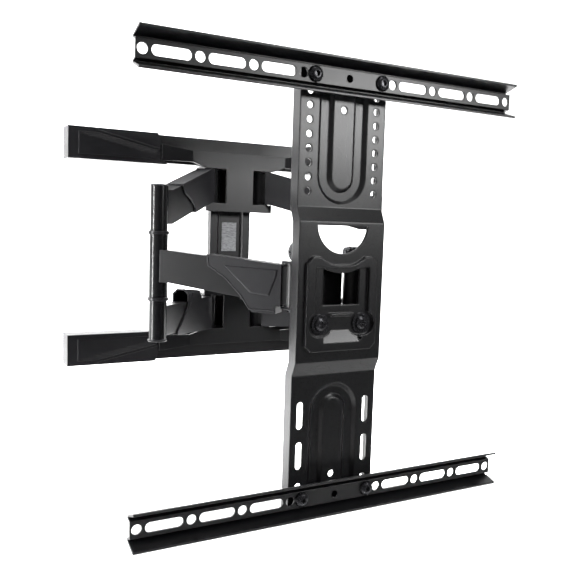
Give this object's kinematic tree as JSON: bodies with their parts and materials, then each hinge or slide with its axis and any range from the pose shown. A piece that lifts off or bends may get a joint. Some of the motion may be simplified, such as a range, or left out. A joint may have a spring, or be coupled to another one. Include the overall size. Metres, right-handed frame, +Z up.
{
  "type": "full motion tv wall mount",
  "caption": "Full motion television wall mount: wall plate, two folding arm pairs, tilting head and centre plate with slotted screen rails.",
  "frame": {"origin": "middle of the wall plate's back plane, which lies on the wall", "axes": "+Z up, +X along the bars and rails, -Y out of the wall towards the room"},
  "size_m": [0.412, 0.2775, 0.4348],
  "materials": {
    "coated_steel": "satin black powder coat",
    "column_steel": "smooth semi-gloss black coat",
    "cover_plastic": "fine textured black moulding",
    "fastener": "black zinc",
    "nylon": "smooth dark nylon",
    "label": "satin silver film"
  },
  "bodies": {
    "wall": {"wall_bar_upper": "coated_steel", "wall_bar_lower": "coated_steel", "wall_bracket_upper": "coated_steel", "wall_bracket_lower": "coated_steel", "end_cover_upper_left": "cover_plastic", "end_cover_upper_right": "cover_plastic", "end_cover_lower_left": "cover_plastic", "end_cover_lower_right": "cover_plastic", "wall_spine": "coated_steel", "wall_pivot_pins": "fastener", "wall_pivot_bushes": "nylon", "spine_label": "label"},
    "rear_left": {"rear_arm_upper_left": "coated_steel", "rear_arm_lower_left": "coated_steel", "rear_cover_upper_left": "cover_plastic", "rear_cover_lower_left": "cover_plastic", "column_sleeve_upper_left": "column_steel", "column_sleeve_lower_left": "column_steel", "column_pin_left": "fastener", "column_rings_left": "nylon", "column_caps_left": "nylon"},
    "front_left": {"front_arm_left": "coated_steel", "front_cover_left": "cover_plastic", "front_sleeve_left": "column_steel"},
    "rear_right": {"rear_arm_upper_right": "coated_steel", "rear_arm_lower_right": "coated_steel", "rear_cover_upper_right": "cover_plastic", "rear_cover_lower_right": "cover_plastic", "column_sleeve_upper_right": "column_steel", "column_sleeve_lower_right": "column_steel", "column_pin_right": "fastener", "column_rings_right": "nylon", "column_caps_right": "nylon"},
    "front_right": {"front_arm_right": "coated_steel", "front_cover_right": "cover_plastic", "front_sleeve_right": "column_steel"},
    "head": {"head_yoke": "coated_steel", "head_pins": "fastener", "head_bushes": "nylon"},
    "tilt": {"tilt_bracket": "coated_steel", "tilt_screws": "fastener", "tilt_washers": "fastener", "tilt_nuts": "fastener", "level_screws": "fastener", "level_washers": "fastener", "level_nuts": "fastener"},
    "screen": {"centre_plate": "coated_steel", "rail_upper": "coated_steel", "rail_lower": "coated_steel", "rail_screws": "fastener", "rail_nuts": "fastener"}
  },
  "joints": [
    {"name": "arm_extend", "type": "hinge", "parent": "wall", "child": "rear_left", "pos_m": [-0.034, -0.021, 0], "axis": [0, 0, 1], "range_deg": [-38, 33]},
    {"name": "right_wall_pivot", "type": "hinge", "parent": "wall", "child": "rear_right", "pos_m": [0.034, -0.021, 0], "axis": [0, 0, 1], "range_deg": [-33, 38]},
    {"name": "left_column_pivot", "type": "hinge", "parent": "rear_left", "child": "front_left", "pos_m": [-0.1354, -0.128, 0], "axis": [0, 0, 1], "range_deg": [-66, 76]},
    {"name": "right_column_pivot", "type": "hinge", "parent": "rear_right", "child": "front_right", "pos_m": [0.1354, -0.128, 0], "axis": [0, 0, 1], "range_deg": [-76, 66]},
    {"name": "left_head_pivot", "type": "hinge", "parent": "front_left", "child": "head", "pos_m": [-0.034, -0.235, 0], "axis": [0, 0, 1], "range_deg": [-38, 33]},
    {"name": "screen_tilt", "type": "hinge", "parent": "head", "child": "tilt", "pos_m": [0, -0.235, 0.0065], "axis": [1, 0, 0], "range_deg": [-5, 10]},
    {"name": "screen_level", "type": "hinge", "parent": "tilt", "child": "screen", "pos_m": [0, -0.2665, 0.0353], "axis": [0, 1, 0], "range_deg": [-2, 2]}
  ],
  "couplings": [
    {"joint": "right_wall_pivot", "follows": "arm_extend", "ratio": -1},
    {"joint": "left_column_pivot", "follows": "arm_extend", "ratio": -2},
    {"joint": "right_column_pivot", "follows": "arm_extend", "ratio": 2},
    {"joint": "left_head_pivot", "follows": "arm_extend", "ratio": 1}
  ]
}
